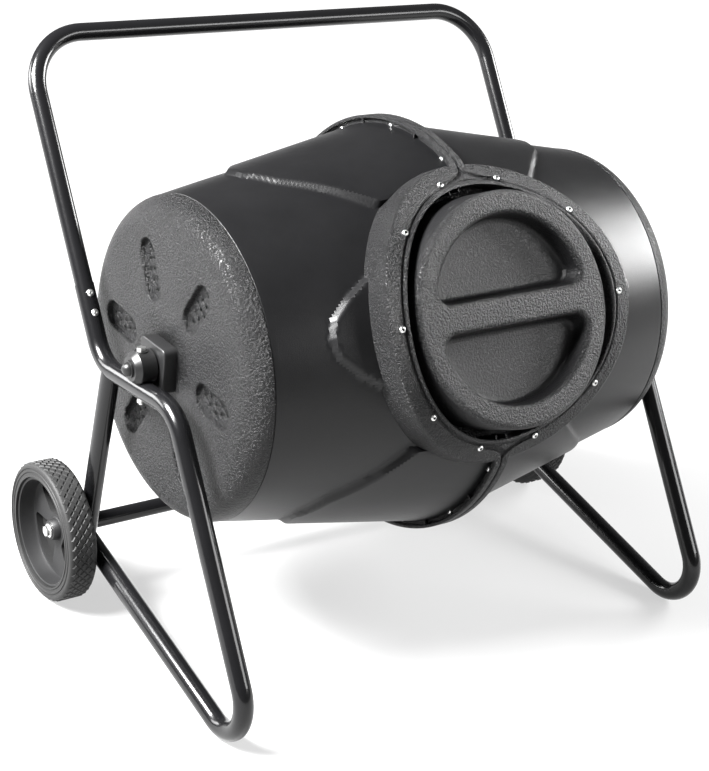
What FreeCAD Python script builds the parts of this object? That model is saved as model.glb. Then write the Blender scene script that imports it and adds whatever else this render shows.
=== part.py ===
import FreeCAD, Part
import math
import os

# Compost tumbler: a two-part plastic drum on a fixed cross axle, in a bent tube frame
# with two wheels and a push handle. Millimetres. X runs along the drum axle, -Y is the
# front (the lid side), +Z is up. The origin is on the floor, under the middle of the
# whole object.

V = FreeCAD.Vector
X_AXIS = V(1, 0, 0)
Z_AXIS = V(0, 0, 1)
SIDES = {"left": -1, "right": 1}

# ---- frame tubes
SIDE_X = 470.0          # plane of each side frame
TUBE_R = 16.0
TUBE_WALL = 1.5
HANDLE_R = 15.0
CROSSBAR_R = 14.0
SPIGOT_GAP = 0.2        # radial play of a swaged tube end in its socket
FOOT_BEND_R = 63.0      # centreline radii of the bends
MAIN_BEND_R = 70.0
HANDLE_BEND_R = 100.0
FOOT_Y = -329.4         # centre of the foot bend
LEG_ANGLE = 56.2        # degrees above +Y
BOTTOM_ANGLE = 12.3
RUN_ANGLE = -5.8
HANDLE_ANGLE = 55.6
REAR_LEG_ANGLE = 100.6
HANDLE_LINE = (232.9, 650.0)    # a point on the handle's upright line (y, z)
HANDLE_TOP_Z = 909.0            # centreline of the top bar
HANDLE_JOINT_Z = 559.5
REAR_LEG_LINE = (95.5, 300.0)
BOTTOM_JOINT_Y = -293.4
HANDLE_SPIGOT = 75.0
BOTTOM_SPIGOT = 40.0
CENTRE_SPIGOT = 40.0

# ---- axle and its bearings
DRUM_Y = -30.1
AXLE_ABOVE_RUN = 35.7   # axle centre to the centreline of the tube under it
AXLE_R = 12.7
AXLE_WALL = 2.0
AXLE_END = 490.0
RUNNING_GAP = 0.05
SADDLE_R = 27.0
SADDLE_TIP_R = 20.0
SADDLE_IN = 455.0
SADDLE_SHOULDER = 481.0
CAP_R = 14.0
CAP_LIP = 3.0
DOME_R = 11.5
CAP_PLUG = 9.0
SADDLE_BOSS_R = 11.0
PLUG_HEAD = 3.0         # end plugs of the bottom tubes
PLUG_STEM = 5.0

# ---- drum
DRUM_END = 428.6        # half length
MIDDLE_R = 322.0
CROWN_X = 205.0         # a point on the crowned side of the barrel
CROWN_R = 294.0
SHOULDER_R = 262.0
CORNER_R = 40.0
SKIN = 3.5
WING_MIDDLE_R = 335.0    # surface of the raised panels
FLANGE_R = 353.0
FLANGE_THICK = 14.0
FLANGE_SCREWS = 12
FLANGE_SCREW_R = 339.0
FLANGE_FIRST = 47.0     # degrees from the lid's axis to the first flange screw
FLANGE_POCKET_R = 9.0
FLANGE_POCKET = 7.0
LID_TILT = 64.8         # turn about X that brings the lid's axis from up to the front
VENTS = 6
VENT_AT_R = 147.0
VENT_LENGTH = 100.0
VENT_WIDTH = 44.0
VENT_DEPTH = 9.0
VENT_HOLE_R = 2.8
VENT_PITCH = 17.0
VENT_COLUMN = 13.6
VENT_ROWS = ((-2, (0,)), (-1, (-0.5, 0.5)), (0, (-1, 0, 1)), (1, (-0.5, 0.5)), (2, (0,)))

# ---- hubs on the drum's end walls
HUB_SIDE = 76.0
HUB_CORNER_R = 9.0
HUB_OUT = 452.0
HUB_BOSS_R = 30.0
HUB_IN = 404.0
LOCK_R = 46.0
LOCK_THICK = 12.0

# ---- lid ring, lid and seal, with heights from the drum's axis along the lid's axis
OPENING_R = 200.0
SLEEVE_R = 206.0
RING_OUT_R = 236.0
RING_CURVE_R = 352.0    # the ring's top lies on a cylinder about the drum's axis
RING_SKIN = 5.0
RING_BOSS_R = 6.5       # screw pillars inside the ring
SLEEVE_GAP = 4.0
RING_SCREW_R = 215.0
RING_SCREW_ANGLES = (0, 41, 75, 105, 139, 180, -139, -105, -75, -41)
RIB_IN_R = 193.0
RIB_THICK = 3.0
RIB_ANGLES = (35, 96, 102, 160, 215, 264, 270, 325)
RIB_DROP = 12.0
SHELF_R = 172.0
SHELF_LOW = 244.0
SHELF_HIGH = 248.0
LID_R = 185.0
LID_FACE = 353.0
LID_LOW = 254.6
LID_SKIN = 4.0
LID_EDGE_R = 9.0
RECESS_R = 151.0
RECESS_CORNER_R = 22.0
RECESS_DEPTH = 38.0
GRIP_HALF = 19.0
SEAL_GAP = 0.3
STARTS = 6
LEAD = 90.0             # lid lift for one full turn
THREAD_HEIGHT = 7.0
THREAD_GAP = 0.5
LUG_Z = 260.0
LUG_OUT_R = 192.0
RAMP_IN_R = 187.5
LUG_SPAN = 14.0
RAMP_SPAN = 40.0
RAMP_LEAD_IN = 2.0

# ---- wheels
WHEEL_R = 121.0
WHEEL_INNER = 494.0
WHEEL_OUTER = 544.0
TYRE_IN_R = 96.0
TYRE_CORNER = 10.0
RIM_WALL = 4.0
HUB_R = 17.0
WHEEL_BOLT_R = 5.0
INSERT_LENGTH = 30.0    # threaded insert in the cross tube that takes the wheel bolt
RIM_INSET = 4.0         # how far the rim's edges stand inside the tyre's sides
WEB_OFFSET = 12.0       # inner side of the wheel to its web
WEB_THICK = 6.0
WINDOWS = 3
WINDOW_FIRST = 78.0     # degrees above +Y
WINDOW_SPAN = 78.0
WINDOW_IN_R = 30.0
WINDOW_OUT_R = 85.0
WINDOW_CORNER = 7.0
WHEEL_SEAT = 16.0       # outer side of the wheel to the seat of its bolt head
WHEEL_WASHER = 2.0
WHEEL_WASHER_R = 12.0
SPACER_R = 9.0
WEB_IN = WHEEL_INNER + WEB_OFFSET
WASHER_OUT = WHEEL_OUTER - WHEEL_SEAT
WASHER_IN = WASHER_OUT - WHEEL_WASHER

# ---- fasteners: shank radius, head radius, head height
AXLE_BOLT = (4.0, 7.5, 5.3)
HANDLE_BOLT = (3.0, 6.2, 3.6)
RING_SCREW = (2.4, 5.0, 2.6)
FLANGE_SCREW = (2.5, 5.2, 3.0)
WHEEL_BOLT = (WHEEL_BOLT_R, 9.5, 6.0)
HOLE_GAP = 0.25
HANDLE_BOLT_STEPS = (18.0, 51.0)    # distances below the handle joint


# ======== small tools ========
def heading(angle):
    """Unit vector in the side plane, `angle` degrees above +Y."""
    return V(0, math.cos(math.radians(angle)), math.sin(math.radians(angle)))


def meet(point_a, angle_a, point_b, angle_b):
    """Where two lines of the side plane cross."""
    a, b = heading(angle_a), heading(angle_b)
    gap = point_b - point_a
    along = (gap.y * b.z - gap.z * b.y) / (a.y * b.z - a.z * b.y)
    return point_a + a * along


def at_height(point, angle, z):
    """The point of a side-plane line at height z."""
    direction = heading(angle)
    return point + direction * ((z - point.z) / direction.z)


def in_side(point, side):
    return V(SIDES[side] * SIDE_X, point.y, point.z)


def bent_path(corners, radii):
    """Straight runs joined by tangent arcs."""
    edges, start = [], corners[0]
    for before, corner, after, radius in zip(corners, corners[1:], corners[2:], radii):
        back = (before - corner).normalize()
        ahead = (after - corner).normalize()
        half = back.getAngle(ahead) / 2
        enter = corner + back * (radius / math.tan(half))
        leave = corner + ahead * (radius / math.tan(half))
        centre = corner + (back + ahead).normalize() * (radius / math.sin(half))
        middle = centre + (corner - centre).normalize() * radius
        edges.append(Part.LineSegment(start, enter).toShape())
        edges.append(Part.Arc(enter, middle, leave).toShape())
        start = leave
    edges.append(Part.LineSegment(start, corners[-1]).toShape())
    return Part.Wire(edges)


def rod(path, radius):
    """A round bar along a path."""
    first = path.Edges[0]
    start = first.valueAt(first.FirstParameter)
    circle = Part.makeCircle(radius, start, first.tangentAt(first.FirstParameter))
    return path.makePipeShell([Part.Wire(circle)], True, False)


def tube(path, radius):
    return rod(path, radius).cut(rod(path, radius - TUBE_WALL))


def bar(start, end, radius):
    return Part.makeCylinder(radius, (end - start).Length, start, end - start)


def pipe(start, end, radius, inner):
    return bar(start, end, radius).cut(bar(start, end, inner))


def hexagon(centre, direction, radius, height):
    """A hexagonal prism, for nuts and bolt heads."""
    prism = Part.Face(Part.makePolygon([
        V(radius * math.cos(k * math.pi / 3), radius * math.sin(k * math.pi / 3), 0)
        for k in range(7)])).extrude(V(0, 0, height))
    prism.Placement = FreeCAD.Placement(centre, FreeCAD.Rotation(Z_AXIS, direction))
    return prism


def nut(centre, direction, bolt, height=6.5):
    shank, head, _ = bolt
    hole = Part.makeCylinder(shank, height, centre, direction)
    return hexagon(centre, direction, head, height).cut(hole)


def hex_bolt(seat, direction, bolt, length):
    """Head on the `direction` side of its seat, shank the other way."""
    shank, head, height = bolt
    out = V(direction).normalize()
    body = Part.makeCylinder(shank, length, seat, out * -1)
    return hexagon(seat, out, head, height).fuse(body)


def pan_screw(seat, direction, screw, length):
    """A low domed head with a hexagon socket."""
    shank, head, height = screw
    out = V(direction).normalize()
    dome_r = (head ** 2 + height ** 2) / (2 * height)
    dome = Part.makeSphere(dome_r, seat + out * (height - dome_r))
    top = dome.common(Part.makeCylinder(head, height + 1, seat, out))
    socket = hexagon(seat + out * (height * 0.4), out, head * 0.45, height)
    return top.cut(socket).fuse(Part.makeCylinder(shank, length, seat, out * -1))


def group(shapes):
    return Part.makeCompound(shapes)


def save(name, shape):
    shape.removeSplitter().exportStep(os.path.join("parts", name + ".step"))


# ======== frame layout, in the side plane ========
FOOT = V(0, FOOT_Y, TUBE_R + FOOT_BEND_R)
LEG_POINT = FOOT + heading(LEG_ANGLE + 90) * FOOT_BEND_R
BOTTOM_POINT = FOOT + heading(BOTTOM_ANGLE - 90) * FOOT_BEND_R
HANDLE_POINT = V(0, *HANDLE_LINE)
RUN_POINT = V(0, DRUM_Y, 461.0)
REAR_POINT = V(0, *REAR_LEG_LINE)

FOOT_CORNER = meet(LEG_POINT, LEG_ANGLE, BOTTOM_POINT, BOTTOM_ANGLE)
FRONT_CORNER = meet(RUN_POINT, RUN_ANGLE, LEG_POINT, LEG_ANGLE)
REAR_CORNER = meet(RUN_POINT, RUN_ANGLE, HANDLE_POINT, HANDLE_ANGLE)
HANDLE_JOINT = at_height(HANDLE_POINT, HANDLE_ANGLE, HANDLE_JOINT_Z)
HANDLE_TOP = at_height(HANDLE_POINT, HANDLE_ANGLE, HANDLE_TOP_Z)
BOTTOM_AXIS = heading(BOTTOM_ANGLE)
BOTTOM_JOINT = BOTTOM_POINT + BOTTOM_AXIS * (
    (BOTTOM_JOINT_Y - BOTTOM_POINT.y) / BOTTOM_AXIS.y)
WHEEL_CENTRE = at_height(BOTTOM_POINT, BOTTOM_ANGLE, WHEEL_R)
RUN_NORMAL = heading(RUN_ANGLE + 90)
AXLE = meet(RUN_POINT, RUN_ANGLE, V(0, DRUM_Y, 0), 90) + V(
    0, 0, AXLE_ABOVE_RUN / RUN_NORMAL.z)
BOTTOM_REAR = WHEEL_CENTRE + BOTTOM_AXIS * (TUBE_R + 6)
HANDLE_AXIS = heading(HANDLE_ANGLE)
HANDLE_FRONT = heading(HANDLE_ANGLE + 90)


def handle_bolt_points(side):
    """Axis points of the two bolts of one handle joint."""
    joint = in_side(HANDLE_JOINT, side)
    return [joint - HANDLE_AXIS * step for step in HANDLE_BOLT_STEPS]


def axle_bolt_hole(side, gap):
    centre = in_side(AXLE, side)
    reach = RUN_NORMAL * 80
    return bar(centre - reach, centre + reach, AXLE_BOLT[0] + gap)


def wheel_axis(side, inner, outer, radius):
    sign = SIDES[side]
    start = V(sign * inner, WHEEL_CENTRE.y, WHEEL_CENTRE.z)
    return Part.makeCylinder(radius, outer - inner, start, X_AXIS * sign)


# ======== frame pieces ========
def side_tube(side):
    corners = [in_side(p, side) for p in
               (HANDLE_JOINT, REAR_CORNER, FRONT_CORNER, FOOT_CORNER, BOTTOM_JOINT)]
    path = bent_path(corners, (MAIN_BEND_R, MAIN_BEND_R, FOOT_BEND_R))
    spigot_r = TUBE_R - TUBE_WALL - SPIGOT_GAP
    joint = in_side(BOTTOM_JOINT, side)
    spigot = pipe(joint - BOTTOM_AXIS * 3, joint + BOTTOM_AXIS * BOTTOM_SPIGOT,
                  spigot_r, spigot_r - TUBE_WALL)
    neck = pipe(joint - BOTTOM_AXIS * 4, joint, TUBE_R - 0.5, spigot_r - TUBE_WALL)
    shape = tube(path, TUBE_R).fuse([spigot, neck]).cut(axle_bolt_hole(side, HOLE_GAP))
    for point in handle_bolt_points(side):
        shape = shape.cut(bar(point - HANDLE_FRONT * 30, point + HANDLE_FRONT * 30,
                              HANDLE_BOLT[0] + HOLE_GAP))
    return shape


def bottom_tube(side):
    start, end = in_side(BOTTOM_JOINT, side), in_side(BOTTOM_REAR, side)
    shape = pipe(start, end, TUBE_R, TUBE_R - TUBE_WALL)
    return shape.cut(wheel_axis(side, SIDE_X - 30, SIDE_X + 30, WHEEL_BOLT_R + HOLE_GAP))


def main_rods(side):
    """Solid outlines of the tubes that the rear leg is coped to."""
    run = bar(in_side(REAR_CORNER, side), in_side(FRONT_CORNER, side), TUBE_R)
    bottom = bar(in_side(BOTTOM_JOINT, side), in_side(BOTTOM_REAR, side), TUBE_R)
    return run, bottom


def rear_leg(side):
    top = in_side(meet(RUN_POINT, RUN_ANGLE, REAR_POINT, REAR_LEG_ANGLE), side)
    foot = in_side(meet(BOTTOM_POINT, BOTTOM_ANGLE, REAR_POINT, REAR_LEG_ANGLE), side)
    shape = pipe(foot, top, TUBE_R, TUBE_R - TUBE_WALL)
    run, bottom = main_rods(side)
    corners = [in_side(p, side) for p in (HANDLE_JOINT, REAR_CORNER, FRONT_CORNER)]
    bend = rod(bent_path(corners, (MAIN_BEND_R,)), TUBE_R)
    return shape.cut([run, bottom, bend]).Solids[0]


def crossbar():
    left, right = (in_side(WHEEL_CENTRE, side) for side in SIDES)
    shape = pipe(left, right, CROSSBAR_R, CROSSBAR_R - TUBE_WALL)
    return shape.cut([main_rods(side)[1] for side in SIDES])


def crossbar_inserts():
    """Threaded plugs in the cross tube's ends, which take the wheel bolts."""
    start, end = SIDE_X - TUBE_R - INSERT_LENGTH, SIDE_X
    plugs = []
    for side in SIDES:
        plug = wheel_axis(side, start, end, CROSSBAR_R - TUBE_WALL)
        plug = plug.cut([main_rods(side)[1], wheel_axis(side, start, end, WHEEL_BOLT_R)])
        plugs.append(plug)
    return group(plugs)


def handle(side):
    low, top = in_side(HANDLE_JOINT, side), in_side(HANDLE_TOP, side)
    middle = V(0, HANDLE_TOP.y, HANDLE_TOP.z)
    shape = tube(bent_path([low, top, middle], (HANDLE_BEND_R,)), HANDLE_R)
    spigot_r = TUBE_R - TUBE_WALL - SPIGOT_GAP
    bore_r = HANDLE_R - TUBE_WALL
    shape = shape.fuse(pipe(low - HANDLE_AXIS * HANDLE_SPIGOT, low + HANDLE_AXIS * 4,
                            spigot_r, bore_r - 1))
    for point in handle_bolt_points(side):
        shape = shape.cut(bar(point - HANDLE_FRONT * 30, point + HANDLE_FRONT * 30,
                              HANDLE_BOLT[0] + HOLE_GAP))
    if side == "left":
        plug_r = bore_r - SPIGOT_GAP
        reach = X_AXIS * CENTRE_SPIGOT
        shape = shape.fuse(pipe(middle - X_AXIS * 4, middle + reach, plug_r, plug_r - 1.5))
        shape = shape.fuse(pipe(middle - X_AXIS * 4, middle - X_AXIS, bore_r + 0.5, plug_r - 1))
    return shape


def handle_bolts():
    reach = TUBE_R * 2 + 6
    return group([pan_screw(point + HANDLE_FRONT * TUBE_R, HANDLE_FRONT, HANDLE_BOLT, reach)
                  for side in SIDES for point in handle_bolt_points(side)])


def handle_nuts():
    return group([nut(point - HANDLE_FRONT * TUBE_R, HANDLE_FRONT * -1, HANDLE_BOLT, 5.0)
                  for side in SIDES for point in handle_bolt_points(side)])


def axle():
    start, end = V(-AXLE_END, AXLE.y, AXLE.z), V(AXLE_END, AXLE.y, AXLE.z)
    shape = pipe(start, end, AXLE_R, AXLE_R - AXLE_WALL)
    return shape.cut([axle_bolt_hole(side, HOLE_GAP) for side in SIDES])


def bearing_saddle(side):
    sign = SIDES["left"]
    out = X_AXIS * sign
    inner = V(sign * SADDLE_IN, AXLE.y, AXLE.z)
    body = Part.makeCylinder(SADDLE_R, SADDLE_SHOULDER - SADDLE_IN, inner, out)
    tip = Part.makeCone(SADDLE_R, SADDLE_TIP_R, AXLE_END - SADDLE_SHOULDER,
                        V(sign * SADDLE_SHOULDER, AXLE.y, AXLE.z), out)
    middle = in_side(AXLE, "left")
    boss = bar(middle, middle + RUN_NORMAL * SADDLE_R, SADDLE_BOSS_R)
    bore = Part.makeCylinder(AXLE_R, AXLE_END - SADDLE_IN, inner, out)
    cuts = [bore, main_rods("left")[0], axle_bolt_hole("left", HOLE_GAP)]
    shape = body.fuse([tip, boss]).cut(cuts)
    shape = max(shape.Solids, key=lambda solid: solid.Volume)
    return shape if side == "left" else shape.mirror(V(0, 0, 0), X_AXIS)


def axle_bolts():
    length = SADDLE_R + AXLE_ABOVE_RUN + TUBE_R + 10
    return group([hex_bolt(in_side(AXLE, side) + RUN_NORMAL * SADDLE_R, RUN_NORMAL, AXLE_BOLT,
                           length) for side in SIDES])


def axle_nuts():
    drop = RUN_NORMAL * (AXLE_ABOVE_RUN + TUBE_R)
    return group([nut(in_side(AXLE, side) - drop, RUN_NORMAL * -1, AXLE_BOLT)
                  for side in SIDES])


def axle_cap(side):
    out = X_AXIS * SIDES[side]
    end = V(SIDES[side] * AXLE_END, AXLE.y, AXLE.z)
    lip = Part.makeCylinder(CAP_R, CAP_LIP, end, out)
    dome = Part.makeSphere(DOME_R, end + out * (CAP_LIP / 2))
    dome = dome.common(Part.makeCylinder(DOME_R, 2 * DOME_R, end, out))
    plug = Part.makeCylinder(AXLE_R - AXLE_WALL, CAP_PLUG, end, out * -1)
    return lip.fuse([dome, plug])


def tube_plugs():
    plugs = []
    for side in SIDES:
        end = in_side(BOTTOM_REAR, side)
        head = bar(end, end + BOTTOM_AXIS * PLUG_HEAD, TUBE_R)
        stem = bar(end - BOTTOM_AXIS * PLUG_STEM, end, TUBE_R - TUBE_WALL)
        plugs.append(head.fuse(stem))
    return group(plugs)


def wheel_bolts():
    bolts = []
    for side in SIDES:
        out = X_AXIS * SIDES[side]
        seat = V(SIDES[side] * WASHER_OUT, WHEEL_CENTRE.y, WHEEL_CENTRE.z)
        length = WASHER_OUT - (SIDE_X - TUBE_R) + INSERT_LENGTH - 4
        bolts.append(hex_bolt(seat, out, WHEEL_BOLT, length))
    return group(bolts)


def ring_on_bolt(inner, outer, radius):
    rings = [wheel_axis(side, inner, outer, radius).cut(
        wheel_axis(side, inner, outer, WHEEL_BOLT_R)) for side in SIDES]
    return group(rings)


# ======== wheels ========
def wheel_ring(side, inner, outer, big, small):
    return wheel_axis(side, inner, outer, big).cut(wheel_axis(side, inner, outer, small))


def tyre(side):
    shape = wheel_ring(side, WHEEL_INNER, WHEEL_OUTER, WHEEL_R, TYRE_IN_R)
    rounds = [e for e in shape.Edges if abs(e.Length - 2 * math.pi * WHEEL_R) < 1
              and len(e.Vertexes) == 1]
    return shape.makeFillet(TYRE_CORNER, rounds)


def wheel_window(side, angle):
    """A rounded wedge through the wheel's web."""
    low, high = WEB_IN - 1, WEB_IN + WEB_THICK + 1
    centre = V(SIDES[side] * low, WHEEL_CENTRE.y, WHEEL_CENTRE.z)
    first, last = (centre + heading(angle + turn) * WHEEL_R * 2
                   for turn in (-WINDOW_SPAN / 2, WINDOW_SPAN / 2))
    wedge = Part.Face(Part.makePolygon([centre, first, last, centre]))
    wedge = wedge.extrude(X_AXIS * (SIDES[side] * (high - low)))
    shape = wheel_ring(side, low, high, WINDOW_OUT_R, WINDOW_IN_R).common(wedge)
    corners = [e for e in shape.Edges if abs(e.Length - (high - low)) < 0.01]
    return shape.makeFillet(WINDOW_CORNER, corners)


def wheel_rim(side):
    barrel = wheel_ring(side, WHEEL_INNER + RIM_INSET, WHEEL_OUTER - RIM_INSET, TYRE_IN_R,
                        TYRE_IN_R - RIM_WALL)
    hub = wheel_axis(side, WHEEL_INNER + SEAL_GAP, WASHER_IN - SEAL_GAP, HUB_R)
    web = wheel_axis(side, WEB_IN, WEB_IN + WEB_THICK, TYRE_IN_R - RIM_WALL / 2)
    windows = [wheel_window(side, WINDOW_FIRST + 360 / WINDOWS * k) for k in range(WINDOWS)]
    bore = wheel_axis(side, WHEEL_INNER, WHEEL_OUTER, WHEEL_BOLT_R + RUNNING_GAP)
    return barrel.fuse([web.cut(windows), hub]).cut(bore)


# ======== drum, built about X with the lid's axis up, then tilted into place ========
def tilted(shape):
    placed = shape.copy()
    placed.rotate(V(0, 0, 0), X_AXIS, LID_TILT)
    placed.translate(V(0, AXLE.y, AXLE.z))
    return placed


def around(angle):
    """Unit vector of the drum section, `angle` degrees from the lid's axis towards +Y."""
    return V(0, math.sin(math.radians(angle)), math.cos(math.radians(angle)))


def turned(edges, points):
    """Revolve a half-profile about X."""
    for start, end in zip(points, points[1:]):
        edges.append(Part.LineSegment(start, end).toShape())
    face = Part.Face(Part.Wire(Part.__sortEdges__(edges)))
    return face.revolve(V(0, 0, 0), X_AXIS, 360)


def barrel(sign, inset, middle_r, crowned):
    """Solid half barrel, its skin `inset` inside the outside surface."""
    corner_x = DRUM_END - CORNER_R
    mouth = V(0, 0, middle_r - inset)
    shoulder = V(sign * corner_x, 0, SHOULDER_R - inset)
    radius = CORNER_R - inset
    slant = math.sqrt(0.5) * radius
    centre_r = SHOULDER_R - CORNER_R
    turn = V(sign * (corner_x + slant), 0, centre_r + slant)
    rim = V(sign * (corner_x + radius), 0, centre_r)
    end = V(sign * (corner_x + radius), 0, 0)
    if crowned:
        side_edge = Part.Arc(mouth, V(sign * CROWN_X, 0, CROWN_R - inset), shoulder)
    else:
        side_edge = Part.LineSegment(mouth, shoulder)
    edges = [side_edge.toShape(), Part.Arc(shoulder, turn, rim).toShape()]
    return turned(edges, [rim, end, V(0, 0, 0), mouth])


# Outlines of the raised panels: distance from the middle plane, degrees from the lid.
WINGS = (
    (72, ((0, 40), (150, 38), (280, 64), (292, 70), (280, 76), (130, 104), (0, 108))),
    (-72, ((0, -40), (150, -38), (280, -64), (292, -70), (280, -76), (130, -104), (0, -108))),
    (0, ((190, -18), (290, -5), (302, 0), (290, 5), (190, 18))),
    (180, ((0, 142), (240, 168), (285, 180), (240, 192), (0, 218))),
)


def wing(sign, middle, outline, inset):
    """A raised panel: its outline pushed outwards and trimmed by the panel surface."""
    radial, across = around(middle), around(middle + 90)
    mean_x = sum(x for x, _ in outline) / len(outline)
    points = []
    for x, angle in outline:
        sideways = CROWN_R * math.tan(math.radians(angle - middle))
        shrink = 1 - inset / 100
        x = mean_x + (x - mean_x) * shrink if x > 0 else x
        points.append(V(sign * x, 0, 0) + across * (sideways * shrink) + radial * 150)
    face = Part.Face(Part.makePolygon(points + points[:1]))
    prism = face.extrude(radial * 250)
    return prism.common(barrel(sign, inset, WING_MIDDLE_R, False))


def lid_column(radius):
    return Part.makeCylinder(radius, 400, V(0, 0, 120), Z_AXIS)


def flange_angles():
    step = (360 - 2 * FLANGE_FIRST) / (FLANGE_SCREWS - 1)
    return [FLANGE_FIRST + step * k for k in range(FLANGE_SCREWS)]


def drum_outside(sign):
    """Everything outside the drum's skin: barrel, raised panels and bolting flange."""
    raised = [wing(sign, middle, outline, 0) for middle, outline in WINGS]
    raised.append(Part.makeCylinder(FLANGE_R, FLANGE_THICK, V(0, 0, 0), X_AXIS * sign))
    raised = [shape.cut(lid_column(RING_OUT_R + HOLE_GAP)) for shape in raised]
    return barrel(sign, 0, MIDDLE_R, True).fuse(raised)


def pill(sign, angle, length, width, low, high):
    """A round-ended prism through an end wall, its length along the radius."""
    radial, across = around(angle), around(angle + 90)
    centre = radial * VENT_AT_R + X_AXIS * (sign * low)
    half = radial * ((length - width) / 2)
    side = across * (width / 2)
    depth = X_AXIS * (sign * (high - low))
    box = Part.Face(Part.makePolygon([
        centre - half - side, centre + half - side, centre + half + side,
        centre - half + side, centre - half - side])).extrude(depth)
    ends = [Part.makeCylinder(width / 2, high - low, centre + way, depth)
            for way in (half, half * -1)]
    return box.fuse(ends)


def vent_holes(sign, angle):
    radial, across = around(angle), around(angle + 90)
    holes = []
    for row, columns in VENT_ROWS:
        for column in columns:
            place = radial * (VENT_AT_R + row * VENT_PITCH) + across * (column * VENT_COLUMN)
            start = place + X_AXIS * (sign * (DRUM_END - 3 * VENT_DEPTH))
            holes.append(Part.makeCylinder(VENT_HOLE_R, 4 * VENT_DEPTH, start, X_AXIS * sign))
    return holes


def drum_half(sign):
    shape = drum_outside(sign)
    cavity = [barrel(sign, SKIN, MIDDLE_R, True)]
    cavity += [wing(sign, middle, outline, SKIN) for middle, outline in WINGS]
    shape = shape.cut(cavity)
    angles = [60.0 * k + 90 for k in range(VENTS)]
    floor = DRUM_END - VENT_DEPTH
    cups = [pill(sign, a, VENT_LENGTH + 2 * SKIN, VENT_WIDTH + 2 * SKIN, floor - SKIN, DRUM_END)
            for a in angles]
    shape = shape.fuse(cups)
    cuts = [pill(sign, a, VENT_LENGTH, VENT_WIDTH, floor, DRUM_END + 5) for a in angles]
    for angle in angles:
        cuts += vent_holes(sign, angle)
    for angle in flange_angles():
        place = around(angle) * FLANGE_SCREW_R
        cuts.append(Part.makeCylinder(FLANGE_SCREW[0] + HOLE_GAP, FLANGE_THICK, place, X_AXIS * sign))
        pocket = place + X_AXIS * (sign * (FLANGE_THICK - FLANGE_POCKET))
        cuts.append(Part.makeCylinder(FLANGE_POCKET_R, FLANGE_POCKET, pocket, X_AXIS * sign))
    cuts.append(lid_column(SLEEVE_R + SPIGOT_GAP))
    cuts.append(Part.makeCylinder(HUB_BOSS_R + SPIGOT_GAP, 30, V(sign * (DRUM_END - 20), 0, 0),
                                  X_AXIS * sign))
    cuts += [screw_bar(p, 150, 400, RING_SCREW[0] + HOLE_GAP) for p in ring_screw_places()]
    return shape.cut(cuts)


def drum_hub(sign):
    half, depth = HUB_SIDE / 2, HUB_OUT - DRUM_END
    block = Part.makeBox(depth, HUB_SIDE, HUB_SIDE, V(0, -half, -half))
    corners = [e for e in block.Edges if abs(e.Length - depth) < 0.01]
    block = block.makeFillet(HUB_CORNER_R, corners)
    start = DRUM_END if sign > 0 else -HUB_OUT
    block.translate(V(start, 0, 0))
    block.rotate(V(0, 0, 0), X_AXIS, -LID_TILT)
    boss = Part.makeCylinder(HUB_BOSS_R, DRUM_END - HUB_IN, V(sign * HUB_IN, 0, 0), X_AXIS * sign)
    bore = Part.makeCylinder(AXLE_R + RUNNING_GAP, 60, V(sign * (HUB_IN - 2), 0, 0), X_AXIS * sign)
    return block.fuse(boss).cut(bore)


def hub_lock_ring(sign):
    inner = DRUM_END - SKIN - LOCK_THICK
    start, end = V(sign * inner, 0, 0), V(sign * (DRUM_END - SKIN), 0, 0)
    return pipe(start, end, LOCK_R, HUB_BOSS_R + HOLE_GAP)


# ---- lid ring, seal and lid
def ring_screw_places():
    """Seats of the ring's screws on its curved top; each screw points at the drum's axis."""
    places = []
    for angle in RING_SCREW_ANGLES:
        turn = math.radians(angle)
        y = RING_SCREW_R * math.sin(turn)
        height = math.sqrt(RING_CURVE_R ** 2 - y ** 2)
        places.append(V(RING_SCREW_R * math.cos(turn), y, height))
    return places


def to_axis(seat):
    """Unit vector from the drum's axis out to a seat."""
    return V(0, seat.y, seat.z).normalize()


def screw_bar(seat, low, high, radius):
    """A round bar on a ring screw's line, between two distances from the drum's axis."""
    foot = V(seat.x, 0, 0)
    return bar(foot + to_axis(seat) * low, foot + to_axis(seat) * high, radius)


def under_top(drop):
    return Part.makeCylinder(RING_CURVE_R - drop, 700, V(-350, 0, 0), X_AXIS)


def washer_z(inner, outer, low, high):
    return pipe(V(0, 0, low), V(0, 0, high), outer, inner)


def helical_bar(inner, outer, low, start, span):
    """A strip of thread: radial sections set round the lid's axis and lofted."""
    sections = []
    steps = 5
    for k in range(steps):
        angle = start + span * k / (steps - 1)
        radial = V(math.cos(math.radians(angle)), math.sin(math.radians(angle)), 0)
        rise = V(0, 0, low + LEAD * (angle - start) / 360)
        top = V(0, 0, THREAD_HEIGHT)
        corners = [radial * inner + rise, radial * outer + rise,
                   radial * outer + rise + top, radial * inner + rise + top]
        sections.append(Part.makePolygon(corners + corners[:1]))
    return Part.makeLoft(sections, True, True)


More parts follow.
